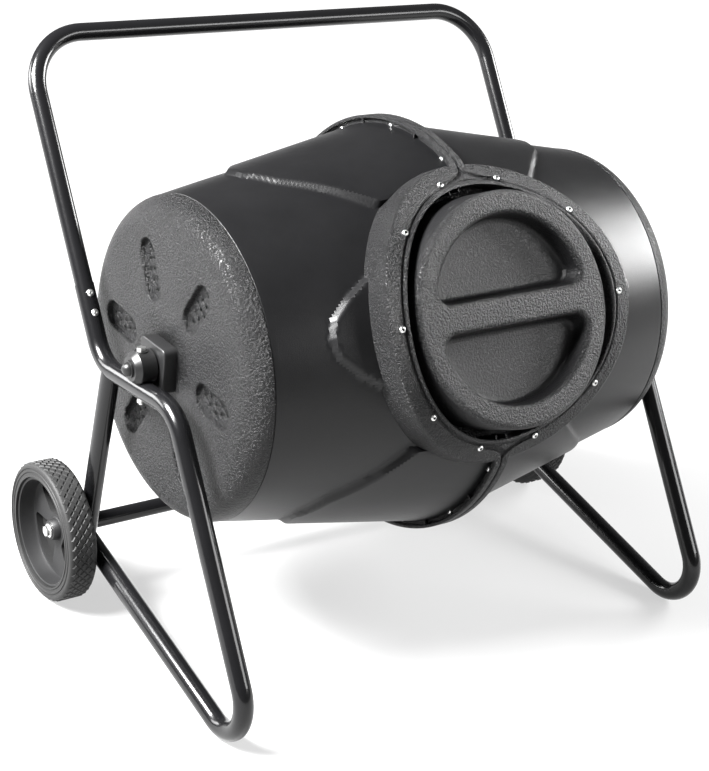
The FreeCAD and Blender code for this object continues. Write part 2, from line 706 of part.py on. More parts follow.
def lid_ring():
    body = washer_z(OPENING_R, RING_OUT_R, 200, 400).common(under_top(0))
    channel = washer_z(SLEEVE_R + SLEEVE_GAP, RING_OUT_R - RING_SKIN, 150, 400)
    channel = channel.common(under_top(RING_SKIN))
    bosses = [screw_bar(p, 200, RING_CURVE_R - 2, RING_BOSS_R).common(channel)
              for p in ring_screw_places()]
    body = body.cut(channel).fuse(bosses).cut([drum_outside(1), drum_outside(-1)])
    sleeve = washer_z(OPENING_R, SLEEVE_R, SHELF_LOW, 400).common(under_top(0))
    shelf = washer_z(SHELF_R, SLEEVE_R, SHELF_LOW, SHELF_HIGH)
    ramp_z = LUG_Z + THREAD_HEIGHT + THREAD_GAP - LEAD * RAMP_LEAD_IN / 360
    extras = [helical_bar(RAMP_IN_R, OPENING_R + 2, ramp_z, 360 / STARTS * k - RAMP_LEAD_IN, RAMP_SPAN)
              for k in range(STARTS)]
    for angle in RIB_ANGLES:
        rib = Part.makeBox(OPENING_R + 2 - RIB_IN_R, RIB_THICK, 120,
                           V(RIB_IN_R, -RIB_THICK / 2, SHELF_HIGH))
        rib.rotate(V(0, 0, 0), Z_AXIS, angle)
        extras.append(rib.common(under_top(RIB_DROP)))
    shape = body.fuse([sleeve, shelf] + extras)
    shape = shape.cut([screw_bar(p, 150, 400, RING_SCREW[0] + HOLE_GAP)
                       for p in ring_screw_places()])
    return max(shape.Solids, key=lambda solid: solid.Volume)


def ring_screws():
    return group([pan_screw(p, to_axis(p), RING_SCREW, 40) for p in ring_screw_places()])


def flange_screws():
    seat = X_AXIS * -(FLANGE_THICK - FLANGE_POCKET)
    return group([pan_screw(around(a) * FLANGE_SCREW_R + seat, X_AXIS * -1, FLANGE_SCREW,
                            2 * (FLANGE_THICK - FLANGE_POCKET) + 6) for a in flange_angles()])


def flange_nuts():
    seat = X_AXIS * (FLANGE_THICK - FLANGE_POCKET)
    return group([nut(around(a) * FLANGE_SCREW_R + seat, X_AXIS, FLANGE_SCREW, 4.0)
                  for a in flange_angles()])


def recess(inset, low, high):
    """One D-shaped finger recess, above the grip bar."""
    disc = Part.makeCylinder(RECESS_R - inset, high - low, V(0, 0, low), Z_AXIS)
    half = Part.makeBox(400, 200, high - low, V(-200, GRIP_HALF + inset, low))
    shape = disc.common(half)
    upright = [e for e in shape.Edges if abs(e.Length - (high - low)) < 0.01]
    return shape.makeFillet(max(RECESS_CORNER_R - inset, 4), upright)


def lid():
    body = Part.makeCylinder(LID_R, LID_FACE - LID_LOW, V(0, 0, LID_LOW), Z_AXIS)
    top_edge = [e for e in body.Edges if len(e.Vertexes) == 1 and e.Vertexes[0].Z > LID_FACE - 1]
    body = body.makeFillet(LID_EDGE_R, top_edge)
    hollow = Part.makeCylinder(LID_R - LID_SKIN, LID_FACE - LID_SKIN - LID_LOW + 1,
                               V(0, 0, LID_LOW - 1), Z_AXIS)
    body = body.cut(hollow.makeFillet(LID_EDGE_R - LID_SKIN, [
        e for e in hollow.Edges if len(e.Vertexes) == 1 and e.Vertexes[0].Z > LID_FACE - 8]))
    floor = LID_FACE - RECESS_DEPTH
    cup = recess(-LID_SKIN, floor - LID_SKIN, LID_FACE - LID_SKIN / 2)
    hole = recess(0, floor, LID_FACE + 2)
    for turn in (0, 180):
        for shape in (cup, hole):
            shape.rotate(V(0, 0, 0), Z_AXIS, turn)
        body = body.fuse(cup).cut(hole)
    lugs = [helical_bar(LID_R - 2, LUG_OUT_R, LUG_Z, 360 / STARTS * k, LUG_SPAN)
            for k in range(STARTS)]
    return body.fuse(lugs)


def lid_seal():
    return washer_z(SHELF_R + 2, LID_R - 1, SHELF_HIGH + SEAL_GAP, LID_LOW - SEAL_GAP)


# ======== write every piece ========
def main():
    os.makedirs("parts", exist_ok=True)
    for side, sign in SIDES.items():
        save("side_tube_" + side, side_tube(side))
        save("bottom_tube_" + side, bottom_tube(side))
        save("rear_leg_" + side, rear_leg(side))
        save("handle_" + side, handle(side))
        save("bearing_saddle_" + side, bearing_saddle(side))
        save("axle_cap_" + side, axle_cap(side))
        save("tyre_" + side, tyre(side))
        save("wheel_rim_" + side, wheel_rim(side))
        save("drum_" + side, tilted(drum_half(sign)))
        save("drum_hub_" + side, tilted(drum_hub(sign)))
        save("hub_lock_ring_" + side, tilted(hub_lock_ring(sign)))
    save("crossbar", crossbar())
    save("crossbar_inserts", crossbar_inserts())
    save("handle_bolts", handle_bolts())
    save("handle_nuts", handle_nuts())
    save("axle", axle())
    save("axle_bolts", axle_bolts())
    save("axle_nuts", axle_nuts())
    save("tube_plugs", tube_plugs())
    save("wheel_bolts", wheel_bolts())
    save("wheel_washers", ring_on_bolt(WASHER_IN, WASHER_OUT, WHEEL_WASHER_R))
    save("wheel_spacers", ring_on_bolt(SIDE_X + TUBE_R, WHEEL_INNER, SPACER_R))
    save("lid_ring", tilted(lid_ring()))
    save("ring_screws", tilted(ring_screws()))
    save("flange_screws", tilted(flange_screws()))
    save("flange_nuts", tilted(flange_nuts()))
    save("lid", tilted(lid()))
    save("lid_seal", tilted(lid_seal()))


main()
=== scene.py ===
import math

import bmesh
import bpy
from mathutils import Matrix, Vector


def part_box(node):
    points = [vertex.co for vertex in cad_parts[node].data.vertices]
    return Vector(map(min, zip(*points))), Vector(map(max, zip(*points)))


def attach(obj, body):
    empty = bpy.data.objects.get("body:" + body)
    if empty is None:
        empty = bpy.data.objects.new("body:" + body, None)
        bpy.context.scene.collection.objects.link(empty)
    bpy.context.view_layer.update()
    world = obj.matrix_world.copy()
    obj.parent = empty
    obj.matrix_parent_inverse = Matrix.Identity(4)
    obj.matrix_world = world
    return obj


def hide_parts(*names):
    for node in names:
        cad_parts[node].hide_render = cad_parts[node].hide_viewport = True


# Compost tumbler, in metres: +X along the drum's axle, -Y the lid side, +Z up. The tubes,
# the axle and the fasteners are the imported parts; the moulded pieces are made here.

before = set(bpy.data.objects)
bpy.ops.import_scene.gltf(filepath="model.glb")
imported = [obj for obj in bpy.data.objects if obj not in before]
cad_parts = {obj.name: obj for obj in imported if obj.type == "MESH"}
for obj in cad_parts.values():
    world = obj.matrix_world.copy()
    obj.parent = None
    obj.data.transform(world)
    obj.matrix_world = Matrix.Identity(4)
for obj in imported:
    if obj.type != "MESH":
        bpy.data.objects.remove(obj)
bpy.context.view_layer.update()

SIDES = {"left": -1, "right": 1}
X_AXIS = Vector((1, 0, 0))
Z_AXIS = Vector((0, 0, 1))

# ---- drum, measured along its axle (x) and out from it
DRUM_END = 0.4286
MIDDLE_R = 0.322
CROWN = (0.205, 0.294)          # a point on the crowned side
SHOULDER_R = 0.262
CORNER_R = 0.040
SHOULDER_X = DRUM_END - CORNER_R
SEAM_DEPTH = 0.0013
SKIN = 0.0035
DRUM_STEPS = 420
SIDE_STEPS = 84
LID_TILT = 64.8                 # degrees from upright to the lid's axis
PANEL_MIDDLE_R = 0.335          # the raised panels lie on a cone from here to the shoulder
PANEL_STEP = 0.0065             # width of the soft step round a panel
PANEL_FLAT_R = 0.31             # the outlines are laid flat at this radius
PANEL_FAR = (0.31, 50)          # nothing is raised further out, or further round, than this
PANELS = (      # middle (degrees from the lid), extra height, corners (x, degrees)
    (72, 0.0065, ((-0.03, 40), (0.150, 38), (0.262, 60), (0.289, 72), (0.288, 82), (0.235, 96),
                 (0.145, 111), (-0.03, 117))),
    (-72, 0.0065, ((-0.03, -40), (0.150, -38), (0.262, -60), (0.289, -72), (0.288, -82),
                  (0.235, -96), (0.145, -111), (-0.03, -117))),
    (0, 0.010, ((0.190, -20), (0.262, -11), (0.288, -6), (0.297, 0), (0.288, 6), (0.262, 11),
                (0.190, 20))),
    (180, 0.0065, ((-0.03, 142), (0.240, 168), (0.285, 180), (0.240, 192), (-0.03, 218))),
)

# ---- vents in the end walls
VENTS = 6
VENT_AT_R = 0.147
VENT_HALF = (0.050, 0.022)
VENT_DEPTH = 0.009
VENT_HOLE_R = 0.0028
VENT_PITCH = 0.017
VENT_CROWDING = 0.8             # columns of holes stand this much closer than rows
VENT_ROWS = ((-2, (0,)), (-1, (-0.5, 0.5)), (0, (-1, 0, 1)), (1, (-0.5, 0.5)), (2, (0,)))
BOSS_R = 0.030

# ---- bolting flange
FLANGE_THICK = 0.014
FLANGE_WEB = 0.007
FLANGE_FIRST = 47.0
FLANGE_SCREWS = 12
FLANGE_START = 41.4
FLANGE_SCREW_R = 0.339
FLANGE_STEP = (360 - 2 * FLANGE_FIRST) / (FLANGE_SCREWS - 1)
FLANGE_SINK = (2.2, 0.010)      # its ends sink by this share of the radius over this angle
FLANGE_RIB = (0.0066, 0.003, 0.016)
FLANGE_RIB_AT = (0.0103, 0.3405)
FLANGE_RIB_CLEAR = 4            # degrees without a rib at each end

# ---- lid ring and lid, with heights along the lid's axis
RING_CURVE_R = 0.352
OPENING_R = 0.200
MOUTH_R = OPENING_R + 0.012      # hole in the drum's side, under the ring
MOUTH_TRUED = 0.010             # edge points this close are moved onto the hole's circle
RING_OUT_R = 0.236
SHELF_R = 0.172
SHELF_HIGH = 0.248
SHELF_LOW = 0.244
JOINT_PATH = ((0.0, 0.245), (0.0, 0.227), (0.005, 0.2205), (0.016, 0.2145), (0.032, 0.2090),
              (0.056, 0.2035))
JOINT_WIDTH = 0.0030            # half width of the grooves that run out to the flange
JOINT_DEPTH = 0.0048
RING_LAND = 0.0026              # how far the ring's top lies under its inner bead
RIB_ANGLES = (35, 96, 102, 160, 215, 264, 270, 325)
RIB_IN_R = 0.193
RIB_THICK = 0.003
RIB_DROP = 0.014
RING_STEPS = 720
RING_SCREW_R = 0.215
RING_SCREW_ANGLES = (0, 41, 75, 105, 139, 180, -139, -105, -75, -41)
LID_R = 0.185
LID_FACE = 0.353
LID_LOW = 0.2546
LID_EDGE_R = 0.009
RECESS_R = 0.151
RECESS_CORNER_R = 0.024
RECESS_DEPTH = 0.038
GRIP_HALF = 0.0205
THREADS = 6
THREAD_LEAD = 0.090
THREAD_SPAN = 14.0              # degrees
LID_SKIN = 0.0038

# ---- wheels, measured out from the side frame
WHEEL_IN = 0.494
WHEEL_OUT = 0.544
TREAD_BASE_R = 0.1193
TYRE_IN_R = 0.096
SHOULDER = (0.0064, 0.0068)     # reach of the tyre's rounded edge inwards and outwards
SIDEWALL_R = 0.1125
TREAD_ROWS = 5
TREAD_COUNT = 46                # lozenges in a row
TREAD_INSET = 0.006
LOZENGE_R = 0.1197
LOZENGE_HALF = 0.0076
LOZENGE_HEIGHT = 0.0023
WEB = 0.512                     # face of the web, and floor of its pockets
POCKET = 0.5005
WEB_R = 0.0845
HUB_FOOT_R = 0.0215
WINDOWS = 3
WINDOW_FIRST = 12.0
WINDOW_HALF = 38.0              # degrees
WINDOW_REACH = (0.029, 0.0815)
WINDOW_CORNER = 0.007

# ---- screw heads
HEAD_R = 0.0052
RING_HEAD = 0.0030
FLANGE_HEAD = 0.0032

# ---- surfaces
GRAIN_SCALE = 270.0
GRAIN_RANGE = (0.36, 0.64)      # noise below and above this is flat

# ---- studio: camera, and each soft light's name, place, target, size and power
CAMERA_AT = (-1.6952, -2.2107, 1.6260)
CAMERA_TURN = (-36.973, 24.366, 6.0)    # azimuth, elevation and roll, degrees
CAMERA_LENS = 81.85
SOFTBOXES = (
    ("softbox_left", (-2.5, 0.5, 2.7), (-0.35, -0.1, 0.65), (1.6, 1.1), 1150),
    ("softbox_behind", (-2.3, 2.4, 1.2), (-0.4, 0, 0.7), (1.8, 0.9), 90),
    ("softbox_right", (3.1, -0.6, 1.6), (0.3, -0.1, 0.6), (1.9, 1.0), 220),
    ("softbox_front", (2.1, -3.1, 1.9), (0, -0.3, 0.6), (1.8, 1.1), 86),
)
WORLD_LIGHT = 0.16
FLOOR_SIZE = 30.0
FLOOR_FADE = (0.3, 2.6, 0.60, 1.0)      # near and far distance, and the glow at each

# ---- hubs
HUB_HALF = 0.038
HUB_OUT = 0.452
HUB_CORNER = 0.010
HUB_EDGE = 0.0025
HUB_BOSS = (0.012, 0.026)       # depth of its middle in the end wall, and its length


def middle(node):
    low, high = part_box(node)
    return (low + high) / 2


AXLE = middle("axle")
DRUM = Matrix.Translation((0, AXLE.y, AXLE.z)) @ Matrix.Rotation(math.radians(LID_TILT), 4, "X")


# ======== materials ========
class Port:
    """A socket of a finish being made. Arithmetic on it adds Math nodes."""

    def __init__(self, finish, socket):
        self.finish = finish
        self.socket = socket

    def math(self, operation, *values):
        settings = {"operation": operation}
        return self.finish.node("ShaderNodeMath", settings, dict(enumerate(values)))

    def __add__(self, other):
        return self.math("ADD", self, other)

    __radd__ = __add__

    def __rsub__(self, other):
        return self.math("SUBTRACT", other, self)

    def __mul__(self, other):
        return self.math("MULTIPLY", self, other)

    __rmul__ = __mul__


class Finish:
    """A material with one principled shader."""

    def __init__(self, name, **constants):
        self.material = bpy.data.materials.new(name)
        self.material.use_nodes = True
        self.tree = self.material.node_tree
        self.tree.nodes.clear()
        self.shader = self.tree.nodes.new("ShaderNodeBsdfPrincipled")
        output = self.tree.nodes.new("ShaderNodeOutputMaterial")
        self.tree.links.new(self.shader.outputs["BSDF"], output.inputs["Surface"])
        self.place = self.node("ShaderNodeTexCoord", output="Object")
        for socket, value in constants.items():
            self.shader.inputs[socket.replace("_", " ")].default_value = value

    def node(self, kind, settings=None, values=None, output=0):
        made = self.tree.nodes.new(kind)
        for setting, value in (settings or {}).items():
            setattr(made, setting, value)
        for socket, value in (values or {}).items():
            if isinstance(value, Port):
                self.tree.links.new(value.socket, made.inputs[socket])
            else:
                made.inputs[socket].default_value = value
        return Port(self, made.outputs[output])

    def set(self, socket, port):
        self.tree.links.new(port.socket, self.shader.inputs[socket])

    def noise(self, scale, detail=2.0, roughness=0.5):
        return self.node("ShaderNodeTexNoise", None, {
            "Vector": self.place, "Scale": scale, "Detail": detail, "Roughness": roughness},
            "Fac")

    def between(self, value, low, high, start, end):
        """`value` eased from start, where it is `low`, to end, where it is `high`."""
        return self.node("ShaderNodeMapRange", {"interpolation_type": "SMOOTHSTEP"}, {
            "Value": value, "From Min": low, "From Max": high, "To Min": start, "To Max": end},
            "Result")

    def tint(self, fac, dark, light):
        self.set("Base Color", self.node("ShaderNodeMix", {"data_type": "RGBA"}, {
            "Factor": fac, "A": (*dark, 1), "B": (*light, 1)}, "Result"))

    def bump(self, height, strength, distance):
        self.set("Normal", self.node("ShaderNodeBump", None, {
            "Height": height, "Strength": strength, "Distance": distance}, "Normal"))

    def along(self, axis):
        return self.node("ShaderNodeSeparateXYZ", None, {"Vector": self.place}, axis)


def grain(finish):
    """Coarse moulded grain: worn pebbles, as a height from 0 to 1."""
    pebbles = finish.noise(GRAIN_SCALE, 3.0, 0.65)
    return finish.between(pebbles, *GRAIN_RANGE, 0.0, 1.0)


def drum_plastic():
    finish = Finish("drum_plastic", IOR=1.33)
    wide = finish.noise(3.0, 3.0)
    fine = finish.noise(700.0, 2.0, 0.6)
    end_cap = finish.between(finish.along("X").math("ABSOLUTE", finish.along("X")),
                             SHOULDER_X - 0.001, SHOULDER_X + 0.001, 0.0, 1.0)
    dust = finish.noise(14.0, 5.0, 0.65)
    finish.tint(wide * dust, (0.0022, 0.0022, 0.0024), (0.0075, 0.0075, 0.0080))
    finish.set("Roughness", 0.27 + 0.10 * wide + 0.02 * end_cap + 0.06 * fine)
    finish.bump(grain(finish) * end_cap + 0.15 * fine, 1.0, 0.0015)
    return finish.material


def grained_plastic():
    finish = Finish("grained_plastic", IOR=1.34)
    wide = finish.noise(4.0, 3.0)
    pebbles = grain(finish)
    finish.tint(wide, (0.0028, 0.0028, 0.0030), (0.0080, 0.0080, 0.0085))
    finish.set("Roughness", 0.34 + 0.08 * wide + 0.06 * pebbles)
    finish.bump(pebbles, 1.0, 0.0021)
    return finish.material


def lid_plastic():
    """Grained on the face, smoother down in the finger recesses."""
    finish = Finish("lid_plastic", IOR=1.34)
    turn = Matrix.Rotation(math.radians(LID_TILT), 3, "X").inverted().to_euler()
    drop = Matrix.Rotation(math.radians(LID_TILT), 3, "X").inverted() @ Vector((0, AXLE.y, AXLE.z))
    local = finish.node("ShaderNodeMapping", None, {
        "Vector": finish.place, "Location": -drop, "Rotation": turn}, "Vector")
    height = finish.node("ShaderNodeSeparateXYZ", None, {"Vector": local}, "Z")
    on_face = finish.between(height, LID_FACE - 0.012, LID_FACE - 0.004, 0.18, 1.0)
    wide = finish.noise(4.0, 3.0)
    pebbles = grain(finish)
    finish.tint(wide, (0.0028, 0.0028, 0.0030), (0.0080, 0.0080, 0.0085))
    finish.set("Roughness", 0.33 + 0.08 * wide + 0.05 * on_face)
    finish.bump(pebbles * on_face, 1.0, 0.0016)
    return finish.material


def fitting_plastic():
    finish = Finish("fitting_plastic", IOR=1.38)
    wide = finish.noise(18.0, 3.0)
    finish.tint(wide, (0.004, 0.004, 0.004), (0.010, 0.010, 0.0104))
    finish.set("Roughness", 0.30 + 0.12 * wide)
    finish.bump(finish.noise(900.0, 2.0, 0.6), 0.35, 0.0004)
    return finish.material


def frame_paint():
    finish = Finish("frame_paint", IOR=1.27, Coat_Roughness=0.06)
    peel = finish.noise(260.0, 2.0, 0.5)
    scuffs = finish.between(finish.noise(22.0, 6.0, 0.7), 0.60, 0.78, 0.0, 1.0)
    finish.tint(finish.noise(6.0, 3.0), (0.0022, 0.0022, 0.0024), (0.0050, 0.0050, 0.0055))
    finish.set("Roughness", 0.20 + 0.06 * peel + 0.10 * scuffs)
    finish.set("Coat Weight", 0.30 - 0.15 * scuffs)
    finish.bump(peel, 0.12, 0.0004)
    return finish.material


def zinc(name, light):
    finish = Finish(name, IOR=1.5, Metallic=1.0)
    spots = finish.noise(380.0, 4.0, 0.6)
    finish.tint(spots, [0.72 * value for value in light], light)
    finish.set("Roughness", 0.22 + 0.20 * spots)
    finish.bump(finish.noise(700.0, 2.0), 0.15, 0.0002)
    return finish.material


def tyre_rubber():
    finish = Finish("tyre_rubber", IOR=1.32)
    wide = finish.noise(20.0, 4.0, 0.6)
    finish.tint(wide, (0.007, 0.007, 0.007), (0.016, 0.016, 0.016))
    finish.set("Roughness", 0.50 + 0.16 * wide)
    finish.bump(finish.noise(1100.0, 3.0, 0.7), 0.40, 0.0004)
    return finish.material


def wheel_plastic():
    finish = Finish("wheel_plastic", IOR=1.32)
    wide = finish.noise(15.0, 3.0)
    finish.tint(wide, (0.006, 0.006, 0.0063), (0.012, 0.012, 0.0123))
    finish.set("Roughness", 0.42 + 0.12 * wide)
    finish.bump(finish.noise(800.0, 2.0, 0.6), 0.45, 0.0005)
    return finish.material


def seal_rubber():
    finish = Finish("seal_rubber", IOR=1.45)
    wide = finish.noise(25.0, 3.0)
    finish.tint(wide, (0.012, 0.012, 0.012), (0.022, 0.022, 0.022))
    finish.set("Roughness", 0.62 + 0.12 * wide)
    finish.bump(finish.noise(500.0, 3.0, 0.6), 0.3, 0.0004)
    return finish.material


def painted_hollow_shade():
    """Painted shade: a dark finish standing in for the shade inside a screw's socket."""
    finish = Finish("painted_hollow_shade", IOR=1.3)
    finish.tint(finish.noise(400.0), (0.004, 0.004, 0.004), (0.012, 0.012, 0.012))
    finish.set("Roughness", 0.7 + 0.2 * finish.noise(300.0))
    return finish.material


FINISHES = {
    "drum_plastic": drum_plastic(),
    "grained_plastic": grained_plastic(),
    "fitting_plastic": fitting_plastic(),
    "frame_paint": frame_paint(),
    "fastener_steel": zinc("fastener_steel", (0.78, 0.78, 0.77)),
    "axle_steel": zinc("axle_steel", (0.42, 0.42, 0.42)),
    "tyre_rubber": tyre_rubber(),
    "wheel_plastic": wheel_plastic(),
    "seal_rubber": seal_rubber(),
}
LID_PLASTIC = lid_plastic()
# dark finish used as painted shade in the screw sockets and the wheel pockets
PAINTED_HOLLOW_SHADE = painted_hollow_shade()


# ======== shapes ========
def keep(bm, name, body, slot, replaces=(), material=None, sharp=35, place=None):
    """Turn a finished bmesh into a piece that rides on a body."""
    if place:
        bmesh.ops.transform(bm, matrix=place, verts=bm.verts)
    bmesh.ops.remove_doubles(bm, verts=bm.verts, dist=1e-6)
    bmesh.ops.recalc_face_normals(bm, faces=bm.faces)
    mesh = bpy.data.meshes.new(name)
    bm.to_mesh(mesh)
    bm.free()
    mesh.shade_smooth()
    mesh.set_sharp_from_angle(angle=math.radians(sharp))
    mesh.materials.append(material or FINISHES[slot])
    piece = bpy.data.objects.new(name, mesh)
    bpy.context.scene.collection.objects.link(piece)
    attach(piece, body)
    if replaces:
        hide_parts(*replaces)
    return piece


def thicken(piece, thickness):
    wall = piece.modifiers.new("wall", "SOLIDIFY")
    wall.thickness = thickness
    wall.offset = -1


def outline(bm, points, closed=False):
    verts = [bm.verts.new(point) for point in points]
    ends = verts[1:] + verts[:1] if closed else verts[1:]
    return verts + [bm.edges.new(pair) for pair in zip(verts, ends)]


def turn(bm, geometry, axis, steps, degrees=360.0, rise=0.0):
    """Spin an outline or a face about an axis through the origin."""
    full = degrees == 360.0
    bmesh.ops.spin(bm, geom=geometry, cent=(0, 0, 0), axis=axis, dvec=axis * (rise / steps),
                   angle=math.radians(degrees), steps=steps, use_merge=full,
                   use_duplicate=False)


def arc(centre, radius, start, end, steps):
    """Points of an arc in a plane, from angle start to angle end."""
    angles = [math.radians(start + (end - start) * k / steps) for k in range(steps + 1)]
    return [(centre[0] + radius * math.cos(a), centre[1] + radius * math.sin(a)) for a in angles]


def edges_of(verts):
    inside = set(verts)
    return list({edge for vert in verts for edge in vert.link_edges
                 if edge.verts[0] in inside and edge.verts[1] in inside})


def ring_loop(bm, radius, segments, place, stretch=0.0):
    """A round loop, or with a stretch a round-ended one; its length lies along the place's X."""
    half_step = Matrix.Rotation(math.pi / segments, 4, "Z")
    verts = bmesh.ops.create_circle(bm, segments=segments, radius=radius,
                                    matrix=half_step)["verts"]
    for vert in verts:
        vert.co.x += math.copysign(stretch, vert.co.x)
    bmesh.ops.transform(bm, matrix=place, verts=verts)
    return edges_of(verts)


def bridge(bm, loops):
    for first, second in zip(loops, loops[1:]):
        bmesh.ops.bridge_loops(bm, edges=first + second)


def around(angle):
    """Unit vector of the drum's section, `angle` degrees from the lid's axis."""
    return Vector((0, math.sin(math.radians(angle)), math.cos(math.radians(angle))))


# ======== drum ========
def circle_through(a, b, c):
    """Centre and radius of the circle through three points of a plane."""
    ax, ay, bx, by, cx, cy = *a, *b, *c
    twice = 2 * (ax * (by - cy) + bx * (cy - ay) + cx * (ay - by))
    a2, b2, c2 = ax * ax + ay * ay, bx * bx + by * by, cx * cx + cy * cy
    x = (a2 * (by - cy) + b2 * (cy - ay) + c2 * (ay - by)) / twice
    y = (a2 * (cx - bx) + b2 * (ax - cx) + c2 * (bx - ax)) / twice
    return x, y, math.hypot(ax - x, ay - y)


CROWN_X, CROWN_Y, CROWN_RADIUS = circle_through((0, MIDDLE_R), CROWN, (SHOULDER_X, SHOULDER_R))


def side_radius(x):
    return CROWN_Y + math.sqrt(CROWN_RADIUS ** 2 - (x - CROWN_X) ** 2)


def smooth(value):
    value = min(max(value, 0.0), 1.0)
    return value * value * (3 - 2 * value)


def distance_to(point, start, end):
    """Distance of a point of the plane from a run between two others."""
    run = end - start
    t = min(max((point - start).dot(run) / run.length_squared, 0.0), 1.0)
    return (point - start - run * t).length


def depth_inside(point, corners):
    """How far a point of the plane lies inside a closed outline; less than 0 outside."""
    nearest, inside = 1e9, False
    for start, end in zip(corners, corners[1:] + corners[:1]):
        nearest = min(nearest, distance_to(point, start, end))
        if (start.y > point.y) != (end.y > point.y):
            slope = (end.x - start.x) / (end.y - start.y)
            if point.x < start.x + slope * (point.y - start.y):
                inside = not inside
    return nearest if inside else -nearest


def panel_rise(x, angle):
    """Height of the raised panels over the drum's side."""
    best = 0.0
    cone = PANEL_MIDDLE_R + (SHOULDER_R - PANEL_MIDDLE_R) * x / SHOULDER_X
    for centre, extra, corners in PANELS:
        off = (angle - centre + 180) % 360 - 180
        if x > PANEL_FAR[0] or abs(off) > PANEL_FAR[1]:
            continue
        flat = [Vector((cx, math.radians(ca - centre) * PANEL_FLAT_R)) for cx, ca in corners]
        depth = depth_inside(Vector((x, math.radians(off) * PANEL_FLAT_R)), flat)
        full = cone + extra - side_radius(x)
        best = max(best, full * smooth(depth / PANEL_STEP + 0.5))
    return best


def drum_side(bm, sign):
    """The crowned side and the rounded corner; returns the edges of its far rim."""
    xs = [SHOULDER_X * k / SIDE_STEPS for k in range(SIDE_STEPS)]
    points = [(x, side_radius(x)) for x in xs]
    for step, depth in ((-0.0012, 0.0), (-0.0005, 1.0), (0.0005, 1.0), (0.0012, 0.0)):
        points.append((SHOULDER_X + step, SHOULDER_R - SEAM_DEPTH * depth))
    corner = arc((SHOULDER_X, SHOULDER_R - CORNER_R), CORNER_R, 84, 0, 14)
    points += corner
    turn(bm, outline(bm, [(sign * x, 0, r) for x, r in points]), X_AXIS, DRUM_STEPS)
    bmesh.ops.remove_doubles(bm, verts=bm.verts, dist=1e-6)
    for vert in bm.verts:
        angle = math.degrees(math.atan2(vert.co.y, vert.co.z))
        radius = math.hypot(vert.co.y, vert.co.z)
        grown = 1 + panel_rise(abs(vert.co.x), angle) / radius
        vert.co.y *= grown
        vert.co.z *= grown
    rim = [v for v in bm.verts if abs(abs(v.co.x) - DRUM_END) < 1e-5]
    return edges_of(rim)


def open_mouth(bm):
    """Cut the lid's opening through the side and true up its edge."""
    inside = [f for f in bm.faces if f.calc_center_median().xy.length < MOUTH_R
              and f.calc_center_median().z > 0]
    bmesh.ops.delete(bm, geom=inside, context="FACES")
    for vert in bm.verts:
        if vert.is_boundary and vert.co.z > 0 and vert.co.xy.length < MOUTH_R + MOUTH_TRUED:
            if abs(vert.co.x) > 1e-4:
                flat = vert.co.xy.normalized() * MOUTH_R
                vert.co.x, vert.co.y = flat.x, flat.y


def vent(bm, sign, angle):
    """One pocket with its holes; returns the edges of its lip in the end wall."""
    radial, across = around(angle), around(angle + 90)
    spot = radial * VENT_AT_R + X_AXIS * (sign * DRUM_END)
    place = Matrix.Translation(spot) @ Matrix((radial, across, X_AXIS * sign)).transposed().to_4x4()
    half_long, half_wide = VENT_HALF
    section = ((0.0035, 0.0), (0.0017, 0.0004), (0.0005, 0.0014), (0.0, 0.0032), (-0.0004, 0.0062),
               (-0.0012, 0.0080), (-0.0030, VENT_DEPTH))
    loops = [ring_loop(bm, half_wide + grow, 48, place @ Matrix.Translation((0, 0, -depth)),
                       half_long - half_wide) for grow, depth in section]
    bridge(bm, loops)
    holes = []
    floor = place @ Matrix.Translation((0, 0, -VENT_DEPTH))
    for row, columns in VENT_ROWS:
        for column in columns:
            across_floor = column * VENT_PITCH * VENT_CROWDING
            spot = floor @ Matrix.Translation((row * VENT_PITCH, across_floor, 0))
            holes.append(ring_loop(bm, VENT_HOLE_R, 12, spot))
    bmesh.ops.triangle_fill(bm, use_beauty=True, edges=loops[-1] + sum(holes, []),
                            normal=X_AXIS * sign)
    return loops[0]


def drum_half(side):
    sign = SIDES[side]
    bm = bmesh.new()
    rim = drum_side(bm, sign)
    open_mouth(bm)
    lips = [vent(bm, sign, 60 * k + 90) for k in range(VENTS)]
    wall = Matrix.Translation((sign * DRUM_END, 0, 0)) @ Matrix.Rotation(math.pi / 2, 4, "Y")
    boss = ring_loop(bm, BOSS_R, 48, wall)
    bmesh.ops.triangle_fill(bm, use_beauty=True, edges=rim + boss + sum(lips, []),
                            normal=X_AXIS * sign)
    piece = keep(bm, "drum_shell_" + side, "drum", "drum_plastic", ("drum_" + side,), place=DRUM)
    thicken(piece, SKIN)


